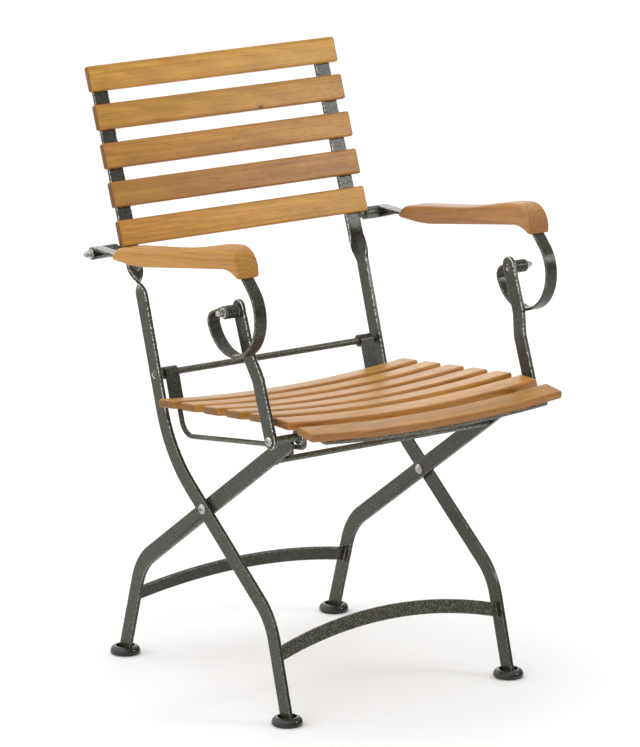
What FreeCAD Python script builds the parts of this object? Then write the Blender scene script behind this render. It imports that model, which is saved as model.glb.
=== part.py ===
"""Folding armchair: wooden slats on a frame of flat steel bar.

Millimetres, +Z up. The sitter faces -Y and +X is the sitter's left.
The origin lies on the floor under the middle of the open chair.
Side-view points are (y, z) pairs, and headings are degrees from +Y towards +Z.
"""
import FreeCAD, Part
import math
import os

V = FreeCAD.Vector

# Flat steel bars and strips
bar_width = 25.0
bar_thick = 6.0
rail_width = 22.0
arm_strip_width = 20.0
strip_thick = 4.0

# Round bars, pins and fasteners
hinge_rod_dia = 10.0
cross_bar_dia = 9.0
guide_rod_dia = 7.5
slider_pin_dia = 10.0
slider_pin_collar_dia = 15.0
slider_pin_collar = 2.5
pivot_bolt_dia = 8.0
eye_bore = 11.0
boss_dia = 19.0
boss_neck_dia = 11.0
stub_dia = 11.0
leg_head_dia = 16.0
post_head_dia = 14.0
head_height = 4.5
cap_dia = 12.0
cap_height = 11.0
cap_flange_dia = 15.0
cap_flange = 1.8
cap_dome_share = 0.42
dome_share = 0.22
washer_dia = 18.0
washer_thick = 1.0
screw_dia = 4.0
screw_head_dia = 7.0
screw_head_height = 2.2
screw_bite = 8.0
screw_dome_share = 0.6

# Clearances, and how far a cut runs past a face
running_fit = 0.05
open_fit = 0.3
side_play = 0.1
slider_gap = 0.3
slat_end_gap = 1.0
screw_head_gap = 0.5
cut_margin = 1.0
same_place = 0.05

# Sideways places, as distances in or out from the ends of the slats
post_inset = 22.0
rail_inset = 45.0
arm_outset = 35.0
arm_post_low_outset = 11.0
arm_post_high_outset = 18.0

# Slats
slat_length = 440.0
slat_width = 38.0
slat_thick = 12.0
slat_pitch = 57.1
slat_edge_radius = 3.5
back_slat_count = 5
seat_slat_count = 7
seat_dish = 11.5

# Back frame, side view
seat_hinge_y = 133.0
seat_hinge_z = 446.0
back_recline = 19.7
hinge_recline = 17.4
leg_pivot_y = 12.0
leg_pivot_z = 271.0
front_foot_y = -194.0
front_leg_lean = 16.0
crossing_lean = 53.0
leg_bend_radius = 92.0
back_bend_radius = 200.0
back_top = 456.0
post_below_top = 8.0
twist_start = 117.0
twist_end = 160.0
twist_steps = 8

# Rear legs, side view
rear_foot_y = 231.5
rear_leg_lean = 17.1
rear_crossing_lean = 55.4
rear_leg_reach = 241.5
slider_pin_from_top = 36.5
cross_bar_from_top = 46.5
cross_bar_drop = 7.2

# Stretchers between the legs
stretcher_width = 21.0
front_stretcher_z = 95.5
front_stretcher_arch = 29.0
rear_stretcher_z = 97.5
rear_stretcher_arch = 21.0

# Feet
foot_dia = 45.0
foot_widest_z = 4.0
foot_rim_dia = 31.0
foot_rim_z = 12.4
foot_cup_dia = 28.5
foot_cup_z = 8.0
leg_end_z = 4.0

# Seat, side view
seat_drop = 47.0
seat_rise = 6.4
rail_hang_lean = 17.0
rail_corner_radius = 10.0
rail_eye_wrap = 300.0
first_slat_back = 53.0
front_roll_start = 285.0
front_roll_radius = 480.0
front_strip_thick = 5.0
front_strip_width = 10.0
front_strip_setback = 2.0
front_strip_past_rail = 10.0
front_strip_bite = 1.0

# Guide rods under the seat rails
guide_rise = 8.5
guide_rear_y = 94.0
guide_front_y = -204.0
guide_rear_lean = 18.0
guide_rear_radius = 25.0
guide_front_radius = 7.0

# Arms, side view: the arm and the seat are equal links, so arm posts stay parallel to the back frame
arm_pivot_up_back = 187.5
arm_pivot_behind = 2.5
stub_ahead_of_leg = 16.2
stub_above_leg = 12.9
arm_rise = 9.4
arm_dip_ahead = 125.6
arm_dip_above = 5.3
arm_dip_radius = 300.0
eye_tail_heading = -17.0
eye_tail = 45.0
scroll_ahead = 16.0
scroll_below = 0.7
scroll_radius = 59.0
scroll_start = 135.0
hoof_bend_radius = 25.0
scroll_end_radius = 15.0
scroll_end_heading = 157.0
scroll_eye_wrap = 270.0

# Wooden armrest: its rear end is placed from the rear pivot and its front from the strip's bend, the hoof,
# and its top is given as shares of the way forward and up from the rear end to the crown
armrest_width = 38.0
armrest_edge_radius = 6.0
armrest_low_radius = 2.5
armrest_rear_ahead = 64.6
strip_recess = 4.0
groove_play = 0.2
armrest_top = [(0.009, 0.106), (0.042, 0.24), (0.106, 0.322), (0.261, 0.426), (0.438, 0.532),
               (0.608, 0.653), (0.781, 0.824), (0.926, 0.962)]
crown_behind_hoof = 16.3
crown_above_hoof = 26.4
nose_ahead_of_hoof = 8.2
nose_above_hoof = 17.4
toe_ahead_of_hoof = 17.7
toe_below_hoof = 15.5
heel_behind_hoof = 24.0
arm_screw_places = [0.2, 0.5, 0.8]

# Arm posts and the seat brackets that carry them
crank_start = 88.0
crank_length = 34.0
post_top_past_pin = 3.5
lug_width = 24.0
lug_thick = 5.0


# Side-view geometry

def polar(centre, radius, heading):
    """Side-view point at a distance and heading from another."""
    turn = math.radians(heading)
    return (centre[0] + radius * math.cos(turn), centre[1] + radius * math.sin(turn))


def heading_to(start, end):
    return math.degrees(math.atan2(end[1] - start[1], end[0] - start[0]))


def distance(start, end):
    return math.hypot(end[0] - start[0], end[1] - start[1])


def meet(first, first_heading, second, second_heading):
    """Point where two side-view lines cross."""
    a = math.radians(first_heading)
    b = math.radians(second_heading)
    gap_y = second[0] - first[0]
    gap_z = second[1] - first[1]
    along = (gap_y * math.sin(b) - gap_z * math.cos(b)) / math.sin(b - a)
    return polar(first, along, first_heading)


def arc(centre, radius, start, turn):
    """Path piece on a circle, from a heading seen from its centre; a positive turn goes from +Y to +Z."""
    return ("arc", centre, radius, start, turn)


def line(start, end):
    return ("line", start, end)


def rounded(points, radii):
    """Path through the points, with each inner corner rounded by its radius."""
    path = []
    last = points[0]
    for before, corner, after, radius in zip(points, points[1:], points[2:], radii):
        heading_in = heading_to(before, corner)
        heading_out = heading_to(corner, after)
        turn = (heading_out - heading_in + 180.0) % 360.0 - 180.0
        reach = radius * math.tan(math.radians(abs(turn)) / 2)
        first = polar(corner, -reach, heading_in)
        side = 90.0 if turn > 0 else -90.0
        path.append(line(last, first))
        path.append(arc(polar(first, radius, heading_in + side), radius, heading_in - side, turn))
        last = polar(corner, reach, heading_out)
    path.append(line(last, points[-1]))
    return path


def point_3d(x, place):
    return V(x, place[0], place[1])


def edge_of(piece, offset, x):
    """Edge of a path piece moved to its left by an offset."""
    if piece[0] == "line":
        side = heading_to(piece[1], piece[2]) + 90.0
        start = point_3d(x, polar(piece[1], offset, side))
        return Part.makeLine(start, point_3d(x, polar(piece[2], offset, side)))
    centre, radius, start, turn = piece[1:]
    size = radius - offset if turn > 0 else radius + offset
    ends = [point_3d(x, polar(centre, size, start + turn * share)) for share in (0.0, 0.5, 1.0)]
    return Part.Arc(*ends).toShape()


def ribbon(path, inner, outer, x_low, x_high):
    """Flat bar that follows a path, from one offset to another, between two side planes."""
    low = [edge_of(piece, inner, x_low) for piece in path]
    high = [edge_of(piece, outer, x_low) for piece in path]
    caps = []
    for index in (0, -1):
        piece = path[index]
        at_end = 1 if index else 0
        inner_end = path_end(piece, inner, x_low, at_end)
        caps.append(Part.makeLine(inner_end, path_end(piece, outer, x_low, at_end)))
    outline = Part.Wire(Part.__sortEdges__(low + high + caps))
    return Part.Face(outline).extrude(V(x_high - x_low, 0, 0))


def path_end(piece, offset, x, at_end):
    """End point of a path piece moved to its left by an offset."""
    if piece[0] == "line":
        side = heading_to(piece[1], piece[2]) + 90.0
        return point_3d(x, polar(piece[1 + at_end], offset, side))
    centre, radius, start, turn = piece[1:]
    size = radius - offset if turn > 0 else radius + offset
    return point_3d(x, polar(centre, size, start + turn * at_end))


# Solids shared by several pieces

def rod(place, dia, x_from, x_to):
    """Round bar along X."""
    return Part.makeCylinder(dia / 2, x_to - x_from, point_3d(x_from, place), V(1, 0, 0))


def dome_head(place, dia, height, x_face, outward, share=dome_share):
    """Domed bolt head that sits on a face across X; outward is 1 or -1."""
    crown = dia * share
    radius = dia / 2
    sphere_radius = (radius ** 2 + crown ** 2) / (2 * crown)
    halfway = math.asin(radius / sphere_radius) / 2
    base = point_3d(x_face, place)
    along = V(outward, 0, 0)
    up = V(0, 0, 1)
    rim = base + up * radius
    shoulder = rim + along * (height - crown)
    top = base + along * height
    below_top = sphere_radius * (1 - math.cos(halfway))
    on_dome = top - along * below_top + up * (sphere_radius * math.sin(halfway))
    outline = Part.Wire([Part.makeLine(base, rim), Part.makeLine(rim, shoulder),
                         Part.Arc(shoulder, on_dome, top).toShape(), Part.makeLine(top, base)])
    return Part.Face(outline).revolve(base, V(1, 0, 0), 360)


def cap_nut(place, x_face):
    """Flanged nut with a tall domed cap, on a face that looks to +X."""
    flange = rod(place, cap_flange_dia, x_face, x_face + cap_flange)
    dome = dome_head(place, cap_dia, cap_height, x_face + cap_flange, 1, cap_dome_share)
    return flange.fuse(dome).removeSplitter()


def wood_screw(seat_point, inward, depth):
    """Domed screw: its head sits at a point and its shank runs inward."""
    shank = Part.makeCylinder(screw_dia / 2, depth, seat_point, inward)
    head = Part.makeCylinder(screw_head_dia / 2, screw_head_height, seat_point, inward * -1)
    circles = [edge for edge in head.Edges if isinstance(edge.Curve, Part.Circle)]
    rim = max(circles, key=lambda edge: edge.CenterOfMass.distanceToPoint(seat_point))
    head = head.makeFillet(screw_head_height * screw_dome_share, [rim])
    return shank.fuse(head).removeSplitter()


def mirrored(shape):
    return shape.mirror(V(0, 0, 0), V(1, 0, 0))


def both_sides(shape):
    return Part.Compound([shape, mirrored(shape)])


def save(name, shape):
    shape.exportStep("parts/" + name + ".step")


def save_pair(name, left_shape):
    """Writes a piece of the sitter's left and its mirror image on the right."""
    save(name + "_left", left_shape)
    save(name + "_right", mirrored(left_shape))


# Key places in the side view, worked out from the sizes above
back_heading = 90.0 - back_recline
hinge_heading = 90.0 - hinge_recline
half_bar = bar_width / 2
half_strip = strip_thick / 2
slat_end = slat_length / 2
post_x = slat_end - post_inset
rail_x = slat_end - rail_inset
arm_x = slat_end + arm_outset
arm_post_low_x = slat_end + arm_post_low_outset
arm_post_high_x = slat_end + arm_post_high_outset
post_inner = post_x - bar_thick / 2
post_outer = post_x + bar_thick / 2
rear_leg_outer = post_inner - washer_thick - side_play
rear_leg_inner = rear_leg_outer - bar_thick
rail_inner = rail_x - rail_width / 2
rail_outer = rail_x + rail_width / 2
strip_inner = arm_x - arm_strip_width / 2
strip_outer = arm_x + arm_strip_width / 2
seat_hinge = (seat_hinge_y, seat_hinge_z)
leg_pivot = (leg_pivot_y, leg_pivot_z)
rear_crossing_heading = 90.0 + rear_crossing_lean
rear_low_heading = 90.0 + rear_leg_lean
rear_leg_top = polar(leg_pivot, rear_leg_reach, rear_crossing_heading)
arm_pivot = polar(polar(seat_hinge, arm_pivot_up_back, back_heading), arm_pivot_behind, back_heading - 90.0)
front_foot = (front_foot_y, foot_rim_z / 2)
rear_foot = (rear_foot_y, foot_rim_z / 2)
arm_post_pivot = (rear_leg_top[0] - stub_ahead_of_leg, rear_leg_top[1] + stub_above_leg)
link_y = arm_post_pivot[0] - seat_hinge_y
link_z = arm_post_pivot[1] - seat_hinge_z
scroll_pivot = (arm_pivot[0] + link_y, arm_pivot[1] + link_z)
scroll_centre = (scroll_pivot[0] - scroll_ahead, scroll_pivot[1] - scroll_below)
arm_dip = (arm_pivot[0] - arm_dip_ahead, arm_pivot[1] + arm_dip_above)
scroll_in = polar(scroll_centre, scroll_radius, scroll_start)
hoof = meet(arm_dip, 180.0 - arm_rise, scroll_in, scroll_start + 90.0)


def on_back(up, forward=0.0):
    """Side-view point up the back from the seat hinge, and forward of the post's middle."""
    return polar(polar(seat_hinge, up, back_heading), forward, back_heading + 90.0)


# Back frame

def front_leg_path():
    """Middle line of a back post from the front foot to the start of its twist."""
    low_heading = 90.0 - front_leg_lean
    mid_heading = 90.0 - crossing_lean
    floor = meet(front_foot, low_heading, (0.0, 0.0), 0.0)
    knee = meet(floor, low_heading, leg_pivot, mid_heading)
    hip = meet(leg_pivot, mid_heading, seat_hinge, hinge_heading)
    return rounded([floor, knee, hip, polar(seat_hinge, twist_start, hinge_heading)],
                   [leg_bend_radius, back_bend_radius])


def twist_section(share):
    """Bar section part of the way through the post's quarter turn, from 0 at its start to 1 at its end."""
    start = polar(seat_hinge, twist_start, hinge_heading)
    end = on_back(twist_end)
    place = polar(start, share * distance(start, end), heading_to(start, end))
    heading = hinge_heading + share * (back_heading - hinge_heading)
    turn = 90.0 * share ** 2 * (3 - 2 * share)
    middle = point_3d(post_x, place)
    front = point_3d(0, polar((0.0, 0.0), 1.0, heading + 90.0))
    wide = front * math.cos(math.radians(turn)) + V(math.sin(math.radians(turn)), 0, 0)
    thin = front * -math.sin(math.radians(turn)) + V(math.cos(math.radians(turn)), 0, 0)
    wide = wide * (bar_width / 2)
    thin = thin * (bar_thick / 2)
    corners = [middle + wide + thin, middle - wide + thin, middle - wide - thin, middle + wide - thin]
    return Part.makePolygon(corners + corners[:1])


def back_slat_middle(index):
    """Distance up the back to the middle of a slat, counted from the top."""
    return back_top - slat_width / 2 - slat_pitch * index


def back_slat(index):
    slat = Part.makeBox(slat_length, slat_thick, slat_width, V(-slat_end, -slat_thick / 2, -slat_width / 2))
    slat = slat.makeFillet(slat_edge_radius, slat.Edges)
    slat.rotate(V(0, 0, 0), V(1, 0, 0), -back_recline)
    slat.translate(point_3d(0, on_back(back_slat_middle(index), bar_thick / 2 + slat_thick / 2)))
    return slat


def back_screw(index):
    """Screw through the left post into a slat, from behind."""
    forward = point_3d(0, polar((0.0, 0.0), 1.0, back_heading + 90.0))
    seat_point = point_3d(post_x, on_back(back_slat_middle(index), -bar_thick / 2))
    return wood_screw(seat_point, forward, bar_thick + screw_bite)


def below_leg_end(foot_y):
    """Block under the level where a left leg ends, inside its foot."""
    return Part.makeBox(2 * post_x, 2 * foot_dia, 2 * leg_end_z, V(0, foot_y - foot_dia, -leg_end_z))


def back_post(screws):
    low = ribbon(front_leg_path(), -half_bar, half_bar, post_inner, post_outer)
    sections = [twist_section(step / twist_steps) for step in range(twist_steps + 1)]
    twist = Part.makeLoft(sections, True, False)
    top_length = back_top - post_below_top - twist_end
    direction = point_3d(0, polar((0.0, 0.0), top_length, back_heading))
    top = Part.Face(sections[-1]).extrude(direction)
    post = low.fuse([twist, top])
    post = post.cut(below_leg_end(front_foot_y))
    post = post.cut(rod(leg_pivot, pivot_bolt_dia, post_inner - cut_margin, post_outer + cut_margin))
    post = post.cut(rod(seat_hinge, hinge_rod_dia, post_inner - cut_margin, post_outer + cut_margin))
    return post.cut(screws)


def arched_bar(middle, heading, half_span, arch):
    """Flat bar between two legs, arched along the legs' own direction."""
    up = point_3d(0, polar((0.0, 0.0), 1.0, heading))
    across = point_3d(0, polar((0.0, 0.0), 1.0, heading + 90.0))
    base = point_3d(0, middle) - across * (bar_thick / 2)

    def bow(level):
        low_end = base + V(-half_span, 0, 0) + up * level
        high_end = base + V(half_span, 0, 0) + up * level
        return Part.Arc(low_end, base + up * (level + arch), high_end).toShape()

    edges = [bow(-stretcher_width / 2), bow(stretcher_width / 2)]
    for side in (-half_span, half_span):
        end = base + V(side, 0, 0)
        edges.append(Part.makeLine(end - up * (stretcher_width / 2), end + up * (stretcher_width / 2)))
    return Part.Face(Part.Wire(Part.__sortEdges__(edges))).extrude(across * bar_thick)


def foot(x, y, leg):
    """Round plastic glide: a swelling ring around a cup that the leg's end is set in."""
    radius = foot_dia / 2
    rim = foot_rim_dia / 2
    cup = foot_cup_dia / 2
    rise = foot_rim_z - foot_widest_z
    swell = ((radius - rim) ** 2 + rise ** 2) / (2 * (radius - rim))
    halfway = math.atan2(rise, swell - radius + rim) / 2
    slant = math.sqrt(0.5)
    low_middle = V(radius - foot_widest_z * (1 - slant), 0, foot_widest_z * (1 - slant))
    high_middle = V(radius - swell * (1 - math.cos(halfway)), 0, foot_widest_z + swell * math.sin(halfway))
    corners = [V(rim, 0, foot_rim_z), V(cup, 0, foot_rim_z), V(cup, 0, foot_cup_z), V(0, 0, foot_cup_z),
               V(0, 0, 0), V(radius - foot_widest_z, 0, 0)]
    edges = [Part.makeLine(start, end) for start, end in zip(corners, corners[1:])]
    widest = V(radius, 0, foot_widest_z)
    edges.append(Part.Arc(corners[-1], low_middle, widest).toShape())
    edges.append(Part.Arc(widest, high_middle, corners[0]).toShape())
    shape = Part.Face(Part.Wire(edges)).revolve(V(0, 0, 0), V(0, 0, 1), 360)
    shape.translate(V(x, y, 0))
    return shape.cut(leg)


def arm_boss():
    """Stub welded to the post's outer edge, with the journal that the arm's rear eye turns on."""
    past_slats = slat_end + slat_end_gap
    neck = rod(arm_pivot, boss_neck_dia, post_x + bar_width / 2, past_slats)
    collar = rod(arm_pivot, boss_dia, past_slats, strip_inner - side_play)
    journal = rod(arm_pivot, eye_bore - 2 * running_fit, strip_inner - side_play, strip_outer + side_play)
    return neck.fuse([collar, journal]).removeSplitter()


def leg_pivot_bolt():
    """Bolt through the crossing legs, domed at both ends."""
    shank = rod(leg_pivot, pivot_bolt_dia, rear_leg_inner - side_play, post_outer)
    outer_head = dome_head(leg_pivot, leg_head_dia, head_height, post_outer, 1)
    inner_head = dome_head(leg_pivot, leg_head_dia, head_height, rear_leg_inner - side_play, -1)
    return shank.fuse([outer_head, inner_head]).removeSplitter()


def leg_pivot_washer():
    ring = rod(leg_pivot, washer_dia, post_inner - washer_thick, post_inner)
    bore = rod(leg_pivot, pivot_bolt_dia, post_inner - washer_thick - cut_margin, post_inner + cut_margin)
    return ring.cut(bore)


# Rear legs
guide_heading = 180.0 - guide_rise
seat_heading = 180.0 - seat_rise
slider_pin_place = polar(rear_leg_top, -slider_pin_from_top, rear_crossing_heading)
slider_drop = guide_rod_dia / 2 + slider_gap + slider_pin_dia / 2
guide_over_pin = polar(slider_pin_place, slider_drop, 90.0 - guide_rise)
guide_under_hinge = meet(guide_over_pin, guide_heading, seat_hinge, 270.0 - guide_rise)
guide_drop = distance(seat_hinge, guide_under_hinge)


def rear_leg_path():
    floor = meet(rear_foot, rear_low_heading, (0.0, 0.0), 0.0)
    knee = meet(floor, rear_low_heading, leg_pivot, rear_crossing_heading)
    return rounded([floor, knee, rear_leg_top], [leg_bend_radius])


def rear_leg():
    leg = ribbon(rear_leg_path(), -half_bar, half_bar, rear_leg_inner, rear_leg_outer)
    leg = leg.fuse(rod(rear_leg_top, bar_width, rear_leg_inner, rear_leg_outer)).removeSplitter()
    leg = leg.cut(below_leg_end(rear_foot_y))
    bore_dia = pivot_bolt_dia + 2 * running_fit
    return leg.cut(rod(leg_pivot, bore_dia, rear_leg_inner - cut_margin, rear_leg_outer + cut_margin))


def slider_pin():
    """Pin on the leg's inner face that the guide rod rests on, with a collar at its free end."""
    free_end = rail_inner
    pin = rod(slider_pin_place, slider_pin_dia, free_end, rear_leg_inner)
    collar = rod(slider_pin_place, slider_pin_collar_dia, free_end, free_end + slider_pin_collar)
    return pin.fuse(collar).removeSplitter()


def cross_bar():
    along = polar(rear_leg_top, -cross_bar_from_top, rear_crossing_heading)
    place = polar(along, cross_bar_drop, rear_crossing_heading + 90.0)
    return rod(place, cross_bar_dia, -rear_leg_inner, rear_leg_inner)


# Seat
rail_eye_radius = hinge_rod_dia / 2 + running_fit + half_strip
rail_under_hinge = polar(seat_hinge, seat_drop, 270.0 - seat_rise)
rail_pad_level = slat_thick + seat_dish * (1 - (rail_outer / slat_end) ** 2)
roll_start = polar(rail_under_hinge, front_roll_start, seat_heading)
roll_centre = polar(roll_start, front_roll_radius, seat_heading + 90.0)
last_slat_along = first_slat_back + slat_pitch * (seat_slat_count - 1)
front_strip_back = slat_width / 2 - front_strip_setback - front_strip_width
rail_front_along = last_slat_along + front_strip_back + front_strip_bite
dish_radius = (slat_end ** 2 + seat_dish ** 2) / (2 * seat_dish)


def on_seat(along, rise=0.0):
    """Side-view point along the seat rail's middle line from under the hinge, and its heading there."""
    if along <= front_roll_start:
        heading = seat_heading
        place = polar(rail_under_hinge, along, seat_heading)
    else:
        turn = math.degrees((along - front_roll_start) / front_roll_radius)
        heading = seat_heading + turn
        place = polar(roll_centre, front_roll_radius, seat_heading - 90.0 + turn)
    return polar(place, rise, heading - 90.0), heading


def seat_rail_path():
    hang_heading = 270.0 - rail_hang_lean
    eye_end = hang_heading - 90.0
    eye = arc(seat_hinge, rail_eye_radius, eye_end - rail_eye_wrap, rail_eye_wrap)
    tangent = polar(seat_hinge, rail_eye_radius, eye_end)
    corner = meet(tangent, hang_heading, rail_under_hinge, seat_heading)
    hang = rounded([tangent, corner, roll_start], [rail_corner_radius])
    roll_turn = math.degrees((rail_front_along - front_roll_start) / front_roll_radius)
    return [eye] + hang + [arc(roll_centre, front_roll_radius, seat_heading - 90.0, roll_turn)]


def seat_rail(screws):
    rail = ribbon(seat_rail_path(), -half_strip, half_strip, rail_inner, rail_outer)
    return rail.cut(screws)


def dished_bar(half_length, top, thick, front, back):
    """Bar bent to the seat's shallow dish, lying along X between two places ahead of a slat's middle."""
    rise = dish_radius - math.sqrt(dish_radius ** 2 - half_length ** 2) - seat_dish

    def bow(level):
        return Part.Arc(V(-half_length, -front, level + rise), V(0, -front, level - seat_dish),
                        V(half_length, -front, level + rise)).toShape()

    edges = [bow(top), bow(top - thick)]
    for side in (-half_length, half_length):
        edges.append(Part.makeLine(V(side, -front, top + rise), V(side, -front, top - thick + rise)))
    return Part.Face(Part.Wire(Part.__sortEdges__(edges))).extrude(V(0, front - back, 0))


def set_on_seat(shape, index):
    """Moves a piece drawn around a level slat's middle to that slat's place on the rails."""
    place, heading = on_seat(first_slat_back + slat_pitch * index, half_strip + rail_pad_level)
    shape.rotate(V(0, 0, 0), V(1, 0, 0), heading - 180.0)
    shape.translate(point_3d(0, place))
    return shape


def seat_slat(index):
    """Slat bent to a shallow dish, with flats underneath where the rails carry it."""
    slat = dished_bar(slat_end, 0.0, slat_thick, slat_width / 2, -slat_width / 2)
    slat = slat.makeFillet(slat_edge_radius, slat.Edges)
    flat = Part.makeBox(rail_width, 2 * slat_width, slat_width,
                        V(rail_inner, -slat_width, -rail_pad_level - slat_width))
    return set_on_seat(slat.cut(both_sides(flat)), index)


def front_strip(rail):
    """Strip across the rails' front ends, bent to the dish and lying under the front slat."""
    strip = dished_bar(rail_outer + front_strip_past_rail, -slat_thick, front_strip_thick,
                       slat_width / 2 - front_strip_setback, front_strip_back)
    return set_on_seat(strip, seat_slat_count - 1).cut(both_sides(rail))


def seat_screw(index):
    """Screw through the left rail into a slat, from below, beside the guide rod."""
    x = rail_x - guide_rod_dia / 2 - screw_head_dia / 2 - screw_head_gap
    place, heading = on_seat(first_slat_back + slat_pitch * index, -half_strip)
    upward = point_3d(0, polar((0.0, 0.0), 1.0, heading - 90.0))
    return wood_screw(point_3d(x, place), upward, strip_thick + screw_bite)


def guide_rod(rail):
    """Round bar bent down from the rail at both ends: the slot that the slider pins run in."""
    rear = meet(guide_under_hinge, guide_heading, (guide_rear_y, 0.0), 90.0)
    front = meet(guide_under_hinge, guide_heading, (guide_front_y, 0.0), 90.0)
    rear_up = polar(rear, guide_drop - seat_drop + strip_thick, 90.0 - guide_rear_lean)
    front_up = polar(front, guide_drop - seat_drop, 90.0)
    path = rounded([rear_up, rear, front, front_up], [guide_rear_radius, guide_front_radius])
    edges = [edge_of(piece, 0.0, rail_x) for piece in path]
    heading = heading_to(rear_up, rear)
    start = Part.makeCircle(guide_rod_dia / 2, point_3d(rail_x, rear_up),
                            point_3d(0, polar((0.0, 0.0), 1.0, heading)))
    bar = Part.Wire(edges).makePipeShell([Part.Wire([start])], True, True)
    bar = bar.cut(rail)
    return max(bar.Solids, key=lambda solid: solid.Volume)


def post_bracket(rail):
    """Lug under the rail with the stub that reaches out to the arm post."""
    low_corner = V(rail_outer - lug_thick, arm_post_pivot[0] - lug_width / 2, arm_post_pivot[1])
    lug = Part.makeBox(lug_thick, lug_width, rail_under_hinge[1], low_corner)
    lug = lug.common(seat_space())
    lug = lug.fuse(rod(arm_post_pivot, lug_width, rail_outer - lug_thick, rail_outer))
    lug = lug.cut(rail)
    lug = max(lug.Solids, key=lambda solid: solid.Volume)
    inner_face = arm_post_low_x - bar_thick / 2 - side_play
    stub = rod(arm_post_pivot, stub_dia, rail_outer - lug_thick, inner_face)
    journal = rod(arm_post_pivot, pivot_bolt_dia, inner_face, arm_post_low_x + bar_thick / 2 + side_play)
    return lug.fuse([stub, journal]).removeSplitter()


def seat_space():
    """Room under the seat rails' tops, which the brackets stay within."""
    path = seat_rail_path()[3:]
    return ribbon(path, -half_strip, half_strip + 4 * lug_width, 0.0, post_x)


# Arms
arm_eye_radius = eye_bore / 2 + half_strip
armrest_crown = (hoof[0] + crown_behind_hoof, hoof[1] + crown_above_hoof)
armrest_nose = (hoof[0] - nose_ahead_of_hoof, hoof[1] + nose_above_hoof)
armrest_toe = (hoof[0] - toe_ahead_of_hoof, hoof[1] - toe_below_hoof)


def arm_strip_path():
    """Middle line of the arm strip: rear eye, armrest, scroll and front eye."""
    tail_angle = eye_tail_heading - 90.0
    reach = math.degrees(math.acos(arm_eye_radius / distance(arm_pivot, arm_dip)))
    leave = heading_to(arm_pivot, arm_dip) % 360.0 - reach
    rear_eye = arc(arm_pivot, arm_eye_radius, tail_angle, leave - tail_angle)
    middle = rounded([polar(arm_pivot, arm_eye_radius, leave), arm_dip, hoof, scroll_in],
                     [arm_dip_radius, hoof_bend_radius])
    eye_in_angle = scroll_end_heading - 90.0
    eye_in = polar(scroll_pivot, arm_eye_radius, eye_in_angle)
    inward = scroll_end_heading + 90.0
    off_inward = heading_to(eye_in, scroll_centre) - inward
    depth = distance(scroll_centre, eye_in) * math.cos(math.radians(off_inward))
    swing = math.degrees(math.acos((scroll_end_radius - depth) / (scroll_radius - scroll_end_radius)))
    scroll_stop = inward + swing
    end_centre = polar(scroll_centre, scroll_radius - scroll_end_radius, scroll_stop)
    scroll = arc(scroll_centre, scroll_radius, scroll_start, scroll_stop - scroll_start)
    end_turn = (scroll_end_heading - 90.0 - scroll_stop) % 360.0
    end_bend = arc(end_centre, scroll_end_radius, scroll_stop, end_turn)
    last = line(polar(end_centre, scroll_end_radius, eye_in_angle), eye_in)
    front_eye = arc(scroll_pivot, arm_eye_radius, eye_in_angle, scroll_eye_wrap)
    return [rear_eye] + middle + [scroll, end_bend, last, front_eye]


def arm_run():
    """Side-view ends of the straight run of strip under the armrest."""
    straight = arm_strip_path()[3]
    return straight[1], straight[2]


def arm_screw(share):
    start, end = arm_run()
    heading = heading_to(start, end)
    place = polar(polar(start, share * distance(start, end), heading), -half_strip, heading - 90.0)
    upward = point_3d(0, polar((0.0, 0.0), 1.0, heading - 90.0))
    return wood_screw(point_3d(arm_x, place), upward, strip_thick + screw_bite)


def arm_strip(screws):
    """Strip with eyes at both ends; the rear eye's tail runs forward to meet the strip from below."""
    strip = ribbon(arm_strip_path(), -half_strip, half_strip, strip_inner, strip_outer)
    tail_end = polar(arm_pivot, arm_eye_radius, eye_tail_heading - 90.0)
    tail_path = [line(polar(tail_end, -eye_tail, eye_tail_heading), tail_end)]
    tail = ribbon(tail_path, -half_strip, half_strip, strip_inner, strip_outer)
    return strip.fuse(tail).removeSplitter().cut(screws)


def bend_middle(start, heading, end):
    """Middle of the arc that leaves a side-view point at a heading and runs to another point."""
    chord = heading_to(start, end)
    swing = (chord - heading + 180.0) % 360.0 - 180.0
    middle = ((start[0] + end[0]) / 2, (start[1] + end[1]) / 2)
    return polar(middle, distance(start, end) / 2 * math.tan(math.radians(swing / 2)), chord - 90.0)


def armrest_outline(x):
    """Closed side outline of the wooden armrest."""
    lower = strip_recess - half_strip
    start, end = arm_run()
    heading = heading_to(start, end)
    dip = arm_strip_path()[2]
    dip_in = polar(dip[1], arm_dip_radius + lower, dip[3])
    dip_out = polar(dip[1], arm_dip_radius + lower, dip[3] + dip[4])
    dip_mid = polar(dip[1], arm_dip_radius + lower, dip[3] + dip[4] / 2)
    rear = meet(dip_in, dip[3] + 90.0, (arm_pivot[0] - armrest_rear_ahead, 0.0), 90.0)
    heel = meet(dip_out, heading, (hoof[0] + heel_behind_hoof, 0.0), 90.0)
    heel_mid = bend_middle(heel, heading, armrest_toe)
    reach = armrest_crown[0] - rear[0]
    climb = armrest_crown[1] - rear[1]
    top = [rear] + [(rear[0] + forward * reach, rear[1] + up * climb) for forward, up in armrest_top]
    crown = Part.BSplineCurve()
    crown.interpolate([point_3d(x, place) for place in top + [armrest_crown]])
    return Part.Wire([
        crown.toShape(),
        Part.Arc(point_3d(x, armrest_crown), point_3d(x, armrest_nose), point_3d(x, armrest_toe)).toShape(),
        Part.Arc(point_3d(x, armrest_toe), point_3d(x, heel_mid), point_3d(x, heel)).toShape(),
        Part.makeLine(point_3d(x, heel), point_3d(x, dip_out)),
        Part.Arc(point_3d(x, dip_out), point_3d(x, dip_mid), point_3d(x, dip_in)).toShape(),
        Part.makeLine(point_3d(x, dip_in), point_3d(x, rear)),
    ])


def flat_edges(shape):
    """Edges that lie across X."""
    return [edge for edge in shape.Edges if edge.BoundBox.XLength < same_place]


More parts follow.
